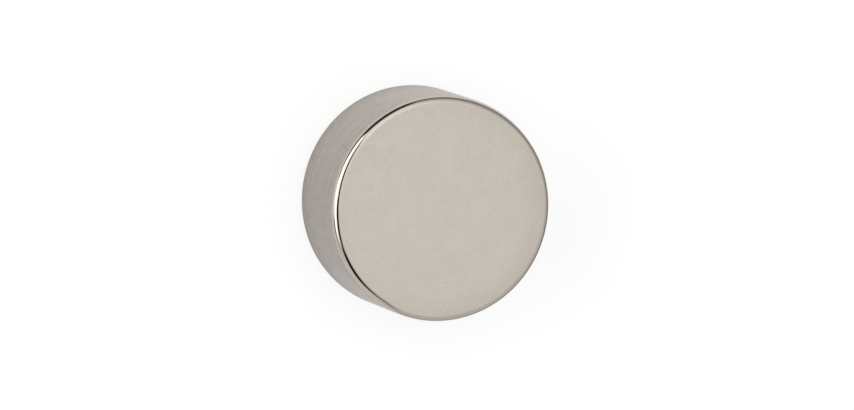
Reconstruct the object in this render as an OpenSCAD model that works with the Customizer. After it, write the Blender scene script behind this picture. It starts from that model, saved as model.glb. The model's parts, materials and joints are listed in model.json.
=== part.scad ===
// Disc magnet: one pressed, sintered and plated piece that stands on a pole face.
// Its half section is drawn with X as the radius and Y as the height, then turned about the axis.

/* [Disc] */
// Diameter of the rim
disc_d = 10; // [6:0.5:30]
// Thickness from pole face to pole face
disc_h = 5; // [2:0.25:20]

/* [Edge] */
// Radius that tumbling leaves round both ends of the rim
edge_r = 0.35; // [0.1:0.05:0.6]

/* [Hidden] */
$fn = 180;

// Radius of the rim, and of the flat pole face that ends where the edge starts to turn down
disc_r = disc_d / 2;
face_r = disc_r - edge_r;

// Length of the straight rim between the two rounded edges
rim_h = disc_h - 2 * edge_r;

// Half section: a core as tall as the disc, a band as wide, and a true arc at each corner
module half_section() {
    square([face_r, disc_h]);
    translate([0, edge_r]) square([disc_r, rim_h]);
    for (arc_y = [edge_r, edge_r + rim_h])
        translate([face_r, arc_y]) circle(edge_r);
}

// The whole magnet, in warm satin nickel
module disc_magnet() {
    color("#c4bdb3") rotate_extrude() half_section();
}

disc_magnet();
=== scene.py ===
import json
import math

import bpy
from mathutils import Matrix, Vector, noise


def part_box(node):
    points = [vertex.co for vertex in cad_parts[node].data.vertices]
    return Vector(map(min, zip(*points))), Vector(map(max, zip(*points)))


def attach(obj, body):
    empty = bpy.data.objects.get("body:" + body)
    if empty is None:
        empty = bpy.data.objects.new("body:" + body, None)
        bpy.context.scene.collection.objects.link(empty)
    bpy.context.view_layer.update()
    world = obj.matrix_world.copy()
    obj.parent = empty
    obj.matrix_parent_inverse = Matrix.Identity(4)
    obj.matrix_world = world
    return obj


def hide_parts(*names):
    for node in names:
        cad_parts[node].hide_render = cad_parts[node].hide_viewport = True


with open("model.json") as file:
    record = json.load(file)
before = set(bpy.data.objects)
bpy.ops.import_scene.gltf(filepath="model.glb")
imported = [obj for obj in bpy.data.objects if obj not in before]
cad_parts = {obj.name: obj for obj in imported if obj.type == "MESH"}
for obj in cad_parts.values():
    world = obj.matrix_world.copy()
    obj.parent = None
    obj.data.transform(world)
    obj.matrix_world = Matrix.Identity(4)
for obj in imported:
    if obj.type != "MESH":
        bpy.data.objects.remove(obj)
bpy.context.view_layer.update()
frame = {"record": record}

# The magnet
# One disc of neodymium-iron-boron: pressed, sintered, ground, tumbled and then nickel plated all over.
# It is turned from its half section. Each face falls away a little before it meets the rounded edge.
# Tumbling has left the edge rounder on one side, and turning more tightly by the rim on the far side.
MM = 0.001
DISC_LOW, DISC_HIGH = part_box("disc_magnet")
DISC_R = (DISC_HIGH.x - DISC_LOW.x) / 2
DISC_H = DISC_HIGH.z - DISC_LOW.z
MOUNTS = {mount["name"]: mount for mount in frame["record"]["mounts"]}
EDGE_R = (DISC_H - MOUNTS["rim"]["dims"]["length_mm"] * MM) / 2
EDGE_LEAN_SHARE = 0.12
EDGE_LEAN_SIDE = math.radians(-40)
EDGE_WANDER_SHARE = 0.06
EDGE_WANDER_TURNS = 1.6
UPPER_EDGE_SEED = 0.3
LOWER_EDGE_SEED = 7.7
TIGHT_SHARE = 0.72
TIGHT_FROM = (math.radians(75), math.radians(95))
TIGHT_TO = (math.radians(200), math.radians(280))
TIGHT_SLOPES = (math.radians(30), math.radians(40))
ROLL_OFF_W = 1.0 * MM
ROLL_OFF_SLOPE = math.radians(2.5)
RIM_SLOPE = math.radians(90)
SEGMENTS = 360
FACE_RINGS = 24
ROLL_OFF_RINGS = 10
EDGE_RINGS = 36
RIM_RINGS = 8


def smooth_step(value, low, high):
    """0 below the low end, 1 above the high end, and a smooth rise between them."""
    share = min(max((value - low) / (high - low), 0), 1)
    return share * share * (3 - 2 * share)


def edge_r_at(angle, seed):
    """The edge radius at one place on the way round: rounder on one side, and wandering by a small share."""
    place = Vector((math.cos(angle), math.sin(angle), seed)) * EDGE_WANDER_TURNS
    lean = EDGE_LEAN_SHARE * math.cos(angle - EDGE_LEAN_SIDE)
    return EDGE_R * (1 + lean + EDGE_WANDER_SHARE * noise.noise(place))


def tight_at(angle):
    """How much tighter the edge turns by the rim at one place. The turn is counted from the front, at -Y."""
    turn = (angle + math.pi / 2) % math.tau
    return TIGHT_SHARE * smooth_step(turn, *TIGHT_FROM) * (1 - smooth_step(turn, *TIGHT_TO))


def upper_half_section(angle, seed):
    """Radius and height of each ring, from the middle of the upper face down to half the rim's height."""
    edge_r = edge_r_at(angle, seed)
    tight = tight_at(angle)
    edge_turn = RIM_SLOPE - ROLL_OFF_SLOPE
    slopes = [ROLL_OFF_SLOPE * i / ROLL_OFF_RINGS for i in range(ROLL_OFF_RINGS + 1)]
    slopes += [ROLL_OFF_SLOPE + edge_turn * i / EDGE_RINGS for i in range(1, EDGE_RINGS + 1)]
    x, z = 0.0, DISC_H
    arcs = []
    for low, high in zip(slopes, slopes[1:]):
        arc_r = edge_r * (1 - tight * smooth_step(high, *TIGHT_SLOPES))
        if high <= ROLL_OFF_SLOPE:
            arc_r = ROLL_OFF_W / math.sin(ROLL_OFF_SLOPE)
        x += arc_r * (math.sin(high) - math.sin(low))
        z += arc_r * (math.cos(high) - math.cos(low))
        arcs.append((x, z))
    flat_r = DISC_R - x
    rings = [(flat_r * i / FACE_RINGS, DISC_H) for i in range(1, FACE_RINGS + 1)]
    rings += [(flat_r + arc_x, arc_z) for arc_x, arc_z in arcs]
    rings += [(DISC_R, z + (DISC_H / 2 - z) * i / RIM_RINGS) for i in range(1, RIM_RINGS + 1)]
    return rings


def full_section(angle):
    """All rings at one angle: the upper half, then the lower half from the rim's middle to the lower face."""
    upper = upper_half_section(angle, UPPER_EDGE_SEED)
    lower = upper_half_section(angle, LOWER_EDGE_SEED)
    return upper + [(r, DISC_H - z) for r, z in reversed(lower[:-1])]


sections = [full_section(math.tau * j / SEGMENTS) for j in range(SEGMENTS)]
ring_count = len(sections[0])
points = [(0, 0, DISC_H)]
for i in range(ring_count):
    for j in range(SEGMENTS):
        r, z = sections[j][i]
        angle = math.tau * j / SEGMENTS
        points.append((r * math.cos(angle), r * math.sin(angle), z))
points.append((0, 0, 0))


def ring_point(i, j):
    """The number of a point: ring i, counted from the upper face's middle, at segment j."""
    return 1 + i * SEGMENTS + j % SEGMENTS


polygons = []
for j in range(SEGMENTS):
    polygons.append((0, ring_point(0, j), ring_point(0, j + 1)))
    for i in range(ring_count - 1):
        polygons.append((ring_point(i, j), ring_point(i + 1, j),
                         ring_point(i + 1, j + 1), ring_point(i, j + 1)))
    polygons.append((len(points) - 1, ring_point(ring_count - 1, j + 1), ring_point(ring_count - 1, j)))

disc_mesh = bpy.data.meshes.new("plated_disc")
disc_mesh.from_pydata(points, [], polygons)
disc_mesh.shade_smooth()
disc = bpy.data.objects.new("plated_disc", disc_mesh)
bpy.context.scene.collection.objects.link(disc)


def linear(hex_colour):
    """An sRGB hex colour as the linear RGBA that Blender's sockets take."""
    channels = [int(hex_colour[i:i + 2], 16) / 255 for i in (1, 3, 5)]
    return [c / 12.92 if c <= 0.04045 else ((c + 0.055) / 1.055) ** 2.4 for c in channels] + [1.0]


def add_node(tree, kind, inputs=None, **settings):
    """Adds a node with its settings. Each input is a value, or another node's output to link.

    A Mix node's inputs go by number: 0 is the share, 2 and 3 are the numbers to mix, 6 and 7 the colours.
    """
    node = tree.nodes.new(kind)
    for name, value in settings.items():
        setattr(node, name, value)
    for socket, value in (inputs or {}).items():
        if isinstance(value, bpy.types.NodeSocket):
            tree.links.new(value, node.inputs[socket])
        else:
            node.inputs[socket].default_value = value
    return node


# Nickel plate over a ground and tumbled body: a warm grey metal with a satin sheen, faint clouds, a fine
# grain and a few pinholes. Tumbling has rubbed the edges bright. The rim keeps the marks and lines of
# grinding. Its darker colour is partly its own tone and partly painted shade, darker towards one side.
# At a glancing angle the metal mirrors a little less.
FACE_COLOUR = linear("#C7BFB8")
FACE_TINT = linear("#C5BFB3")
EDGE_COLOUR = linear("#C2BBB0")
# Darker than the faces, partly by the rim's own tone and partly by painted shade
RIM_TONE_AND_SHADE_COLOUR = linear("#B9AFA7")
GLANCING_TINT = linear("#E7E7E7")
FACE_ROUGHNESS = 0.26
RIM_ROUGHNESS = 0.28
EDGE_ROUGHNESS = 0.06
BORDER_W = 0.9 * MM
FACE_MOTTLE = {"cloud": 0.20, "grain": 0.12, "rub": 0.024}
RIM_MOTTLE = {"rim_marks": 0.75, "rim_lines": 0.40}
# Painted shade on the rim: how much darker it gets across the disc, and the side where it stays lighter
RIM_PAINTED_SHADE_SHARE = 0.22
RIM_PAINTED_LIGHT_SIDE = math.radians(130)
PINHOLE_SPACING = 0.60 * MM
PINHOLE_R = 0.042 * MM
PINHOLE_SHARE = 0.14
PEEL_DEPTH = 0.0006 * MM
GRAIN_DEPTH = 0.0004 * MM
PINHOLE_DEPTH = 0.0015 * MM

# Where each zone starts and where it is full, by how far the surface faces up or down: 1 is a pole face,
# 0 is the rim, and the edges lie between.
ZONE_FACINGS = {
    "rubbed_edge": (0.9992, 0.99),
    "rim_tone_and_shade": (0.6, 0.2),
    "rim_sheen": (0.45, 0.1),
}

# Each pattern's cell size in mm along X, Y and Z, its turn about the axis in degrees, its octaves, and
# how much strength each finer octave keeps. The grain, the grinding lines and the pinholes are drawn
# coarser than real ones, so that they show.
PLATE_PATTERNS = {
    "cloud": ((1.5, 1.5, 1.5), 0, 5.0, 0.9),
    "tint": ((0.9, 0.9, 0.9), 0, 4.0, 0.8),
    "peel": ((0.35, 0.35, 0.35), 0, 1.0, 0.4),
    "grain": ((0.08, 0.08, 0.08), 0, 2.0, 0.6),
    "rub": ((0.3, 1.6, 0.3), 18, 1.0, 0.5),
    "rim_marks": ((0.45, 0.45, 0.75), 0, 5.0, 1.0),
    "rim_lines": ((3.0, 3.0, 0.08), 0, 2.0, 0.5),
}

nickel = bpy.data.materials.new("satin_nickel_plate")
nickel.use_nodes = True
tree = nickel.node_tree
shader = tree.nodes["Principled BSDF"]
shader.inputs["Metallic"].default_value = 1.0
shader.inputs["Specular Tint"].default_value = GLANCING_TINT
coords = add_node(tree, "ShaderNodeTexCoord")
position = coords.outputs["Object"]

# Zones: rubbed edge, rim, and the border of each face up to where its edge starts
normal_parts = add_node(tree, "ShaderNodeSeparateXYZ", {0: coords.outputs["Normal"]})
facing = add_node(tree, "ShaderNodeMath", {0: normal_parts.outputs["Z"]}, operation="ABSOLUTE")
zones = {}
for zone, (start, full) in ZONE_FACINGS.items():
    zones[zone] = add_node(tree, "ShaderNodeMapRange", {"Value": facing.outputs[0], "From Min": start,
                                                        "From Max": full}, label=zone).outputs[0]
position_parts = add_node(tree, "ShaderNodeSeparateXYZ", {0: position})
off_axis = add_node(tree, "ShaderNodeCombineXYZ", {0: position_parts.outputs["X"],
                                                   1: position_parts.outputs["Y"]})
radius = add_node(tree, "ShaderNodeVectorMath", {0: off_axis.outputs[0]}, operation="LENGTH")
border = add_node(tree, "ShaderNodeMapRange", {"Value": radius.outputs["Value"],
                                               "From Min": DISC_R - EDGE_R - BORDER_W,
                                               "From Max": DISC_R - EDGE_R})

# Patterns: each noise is stretched to its cell, and the pinholes are the middles of wider cells
patterns = {}
for name, (cell, turn, octaves, keep) in PLATE_PATTERNS.items():
    in_cells = add_node(tree, "ShaderNodeMapping", {"Vector": position, "Scale": Vector(cell) * MM,
                                                    "Rotation": (0, 0, math.radians(turn))},
                        vector_type="TEXTURE")
    patterns[name] = add_node(tree, "ShaderNodeTexNoise", {"Vector": in_cells.outputs[0], "Scale": 1.0,
                                                           "Detail": octaves, "Roughness": keep},
                              label=name).outputs["Fac"]
pinhole_cells = add_node(tree, "ShaderNodeTexVoronoi", {"Vector": position, "Scale": 1 / PINHOLE_SPACING})
pinhole = add_node(tree, "ShaderNodeMapRange", {"Value": pinhole_cells.outputs["Distance"],
                                                "From Min": PINHOLE_R / PINHOLE_SPACING,
                                                "From Max": PINHOLE_R / PINHOLE_SPACING / 2}).outputs[0]

# Colour: warm nickel with a faint tint, a little darker by the edge and darker still on the rim, partly
# by the rim's own tone and partly by painted shade for the shadowed floor it mirrors
colour = FACE_COLOUR
for share, next_colour in ((patterns["tint"], FACE_TINT), (border.outputs[0], EDGE_COLOUR),
                           (zones["rim_tone_and_shade"], RIM_TONE_AND_SHADE_COLOUR)):
    colour = add_node(tree, "ShaderNodeMix", {0: share, 6: colour, 7: next_colour},
                      data_type="RGBA").outputs[2]

# Tone: clouds, grain and rubbing on the faces, marks and lines on the rim with painted shade that darkens
# it towards one side, and pinholes all over
face_tone = 1 - sum(FACE_MOTTLE.values()) / 2
for name, share in FACE_MOTTLE.items():
    face_tone = add_node(tree, "ShaderNodeMath", {0: patterns[name], 1: share, 2: face_tone},
                         operation="MULTIPLY_ADD").outputs[0]
# Painted light and shade: the rim's tone rises towards one side and falls towards the other
painted_light_side = Vector((math.cos(RIM_PAINTED_LIGHT_SIDE), math.sin(RIM_PAINTED_LIGHT_SIDE), 0)) / DISC_R
to_painted_light_side = add_node(tree, "ShaderNodeVectorMath", {0: position, 1: painted_light_side},
                          operation="DOT_PRODUCT")
rim_tone_and_shade = add_node(tree, "ShaderNodeMath", {0: to_painted_light_side.outputs["Value"], 1: RIM_PAINTED_SHADE_SHARE,
                                             2: 1 - sum(RIM_MOTTLE.values()) / 2},
                    operation="MULTIPLY_ADD").outputs[0]
for name, share in RIM_MOTTLE.items():
    rim_tone_and_shade = add_node(tree, "ShaderNodeMath", {0: patterns[name], 1: share, 2: rim_tone_and_shade},
                        operation="MULTIPLY_ADD").outputs[0]
mottle_tone = add_node(tree, "ShaderNodeMix", {0: zones["rim_tone_and_shade"], 2: face_tone, 3: rim_tone_and_shade})
pinhole_tone = add_node(tree, "ShaderNodeMath", {0: pinhole, 1: -PINHOLE_SHARE, 2: 1.0},
                        operation="MULTIPLY_ADD")
tone = add_node(tree, "ShaderNodeMath", {0: mottle_tone.outputs[0], 1: pinhole_tone.outputs[0]},
                operation="MULTIPLY")
toned = add_node(tree, "ShaderNodeVectorMath", {0: colour, "Scale": tone.outputs[0]}, operation="SCALE")
tree.links.new(toned.outputs[0], shader.inputs["Base Color"])

# Roughness: satin on the faces and a little duller on the rim, and rubbed smooth on the edges
rubbed = add_node(tree, "ShaderNodeMix", {0: zones["rubbed_edge"], 2: FACE_ROUGHNESS, 3: EDGE_ROUGHNESS})
satin = add_node(tree, "ShaderNodeMix", {0: zones["rim_sheen"], 2: rubbed.outputs[0], 3: RIM_ROUGHNESS})
tree.links.new(satin.outputs[0], shader.inputs["Roughness"])

# Relief: a shallow orange peel, the grain on it, and the pinholes
relief = 0.0
for pattern, depth in ((patterns["peel"], PEEL_DEPTH), (patterns["grain"], GRAIN_DEPTH),
                       (pinhole, -PINHOLE_DEPTH)):
    relief = add_node(tree, "ShaderNodeMath", {0: pattern, 1: depth, 2: relief},
                      operation="MULTIPLY_ADD").outputs[0]
bump = add_node(tree, "ShaderNodeBump", {"Strength": 1.0, "Distance": 1.0, "Height": relief})
tree.links.new(bump.outputs[0], shader.inputs["Normal"])

disc_mesh.materials.append(nickel)
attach(disc, "root")
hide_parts("disc_magnet")

# The table
# A sheet of white acrylic that the magnet stands on, lit from below and wide enough to fill every view.
# It is a plain square. It keeps the magnet's soft shadow. In mirrors its glow carries a painted shadow,
# darker where the magnet stands on it. Its glow shows to the eye and in mirrors, and lights nothing else.
TABLE_W = 1200 * MM
TABLE_COLOUR = linear("#A0A0A0")
TABLE_GLOW = 0.74
CONTACT_SHADOW_W = 0.45 * MM

table_mesh = bpy.data.meshes.new("table")
table_end = TABLE_W / 2
table_corners = [(-table_end, -table_end, 0), (table_end, -table_end, 0),
                 (table_end, table_end, 0), (-table_end, table_end, 0)]
table_mesh.from_pydata(table_corners, [], [(0, 1, 2, 3)])
table = bpy.data.objects.new("table", table_mesh)
bpy.context.scene.collection.objects.link(table)
acrylic = bpy.data.materials.new("lit_white_acrylic")
acrylic.use_nodes = True
tree = acrylic.node_tree
tree.nodes.clear()
rays = add_node(tree, "ShaderNodeLightPath")
# Painted shadow: the glow that mirrors see is darkened where the magnet shuts the sheet in
contact = add_node(tree, "ShaderNodeAmbientOcclusion", {"Distance": CONTACT_SHADOW_W})
seen = add_node(tree, "ShaderNodeMath", {0: rays.outputs["Is Glossy Ray"], 1: contact.outputs["AO"]},
                operation="MULTIPLY").outputs[0]
for ray in ("Is Camera Ray", "Is Transmission Ray"):
    seen = add_node(tree, "ShaderNodeMath", {0: seen, 1: rays.outputs[ray]}, operation="MAXIMUM").outputs[0]
glow = add_node(tree, "ShaderNodeMath", {0: seen, 1: TABLE_GLOW}, operation="MULTIPLY")
matt = add_node(tree, "ShaderNodeBsdfDiffuse", {"Color": TABLE_COLOUR})
lit = add_node(tree, "ShaderNodeEmission", {"Strength": glow.outputs[0]})
both = add_node(tree, "ShaderNodeAddShader", {0: matt.outputs[0], 1: lit.outputs[0]})
add_node(tree, "ShaderNodeOutputMaterial", {"Surface": both.outputs[0]})
table_mesh.materials.append(acrylic)

# The light tent
# A white tent round the table, brighter towards its ceiling, with a bright card low in front. Dark gaps
# show beside and below the card, and so do the camera and its stand. It is painted on the world.
TENT_HORIZON = 0.08
TENT_ZENITH = 0.94

# Each panel is an ellipse, painted over those before it: azimuth from -Y towards +X, elevation, half width
# and half height in degrees, then its soft edge as a share of its size, and its brightness.
TENT_PANELS = {
    "far_wall": (137, 42, 38, 28, 0.3, 0.74),
    "ceiling": (180, 78, 22, 14, 0.4, 1.06),
    "side_wall": (74, 15, 29, 13, 0.3, 0.92),
    "ceiling_hot_spot": (-47, 65, 24, 20, 0.9, 1.4),
    "front_card": (7, 30, 37, 18, 0.17, 2.3),
    "gap_beside_card": (-50, 18, 20, 19, 0.1, 0.05),
    "gap_below_card": (-24, 4, 18, 14, 0.06, 0.01),
    "card_foot": (18, 3, 14, 6, 0.16, 1.4),
    "camera": (11, 64, 23, 8, 0.15, 0.01),
    "camera_arm": (42, 54, 12, 10, 0.06, 0.01),
    "camera_stand": (73, 41, 14, 16, 0.2, 0.01),
    "camera_hood": (87, 41, 12, 9, 0.6, 0.02),
}

# So long that a place's distance along a panel's own axis does not count
PANEL_DEPTH = 1000

world = bpy.data.worlds.new("light_tent")
world.use_nodes = True
bpy.context.scene.world = world
tree = world.node_tree
tree.nodes.clear()
direction = add_node(tree, "ShaderNodeTexCoord").outputs["Generated"]
height = add_node(tree, "ShaderNodeSeparateXYZ", {0: direction}).outputs["Z"]
brightness = add_node(tree, "ShaderNodeMath", {0: height, 1: TENT_ZENITH - TENT_HORIZON, 2: TENT_HORIZON},
                      operation="MULTIPLY_ADD").outputs[0]
for name, (azimuth, elevation, half_w, half_h, soft, strength) in TENT_PANELS.items():
    azimuth, elevation, half_w, half_h = (math.radians(a) for a in (azimuth, elevation, half_w, half_h))
    across = Vector((math.cos(azimuth), math.sin(azimuth), 0))
    outward = Vector((math.sin(azimuth) * math.cos(elevation), -math.cos(azimuth) * math.cos(elevation),
                      math.sin(elevation)))
    panel_axes = Matrix((across, outward.cross(across), outward)).transposed()
    panel_size = (math.sin(half_w), math.sin(half_h), PANEL_DEPTH)
    in_panel = add_node(tree, "ShaderNodeMapping", {"Vector": direction, "Rotation": panel_axes.to_euler(),
                                                    "Scale": panel_size}, vector_type="TEXTURE", label=name)
    off_centre = add_node(tree, "ShaderNodeVectorMath", {0: in_panel.outputs[0]}, operation="LENGTH")
    mask = add_node(tree, "ShaderNodeMapRange", {"Value": off_centre.outputs["Value"],
                                                 "From Min": 1 + soft, "From Max": 1 - soft},
                    interpolation_type="SMOOTHSTEP")
    brightness = add_node(tree, "ShaderNodeMix", {0: mask.outputs[0], 2: brightness, 3: strength}).outputs[0]
tent = add_node(tree, "ShaderNodeBackground", {"Color": linear("#FFFFFF"), "Strength": brightness})
add_node(tree, "ShaderNodeOutputWorld", {"Surface": tent.outputs[0]})

# The camera
# A long lens above the table, looking down on the upper face from in front and turned on its side,
# so that the magnet's axis points right and a little down, and the rim shows at the left.
CAMERA_TILT = math.radians(19.07)
CAMERA_TURN = math.radians(19.9)
CAMERA_DISTANCE = 380 * MM
VIEW_W = 37.53 * MM
IMAGE_W, IMAGE_H = 854, 410
FACE_MIDDLE_PX = (441.65, 208.75)
SENSOR_W = 36.0

to_camera = Vector((0, -math.sin(CAMERA_TILT), math.cos(CAMERA_TILT)))
axis_in_view = Vector((0, math.cos(CAMERA_TILT), math.sin(CAMERA_TILT)))
across_view = to_camera.cross(axis_in_view)
image_right = math.cos(CAMERA_TURN) * axis_in_view + math.sin(CAMERA_TURN) * across_view
image_up = to_camera.cross(image_right)
px = VIEW_W / IMAGE_W
aim = (Vector((0, 0, DISC_H)) + image_right * px * (IMAGE_W / 2 - FACE_MIDDLE_PX[0])
       - image_up * px * (IMAGE_H / 2 - FACE_MIDDLE_PX[1]))
camera_data = bpy.data.cameras.new("camera")
camera_data.sensor_width = SENSOR_W
camera_data.lens = SENSOR_W * CAMERA_DISTANCE / VIEW_W
camera = bpy.data.objects.new("camera", camera_data)
camera_axes = Matrix((image_right, image_up, to_camera)).transposed()
camera.matrix_world = Matrix.Translation(aim + to_camera * CAMERA_DISTANCE) @ camera_axes.to_4x4()
bpy.context.scene.collection.objects.link(camera)
bpy.context.scene.camera = camera

bpy.context.scene.view_settings.view_transform = "Standard"
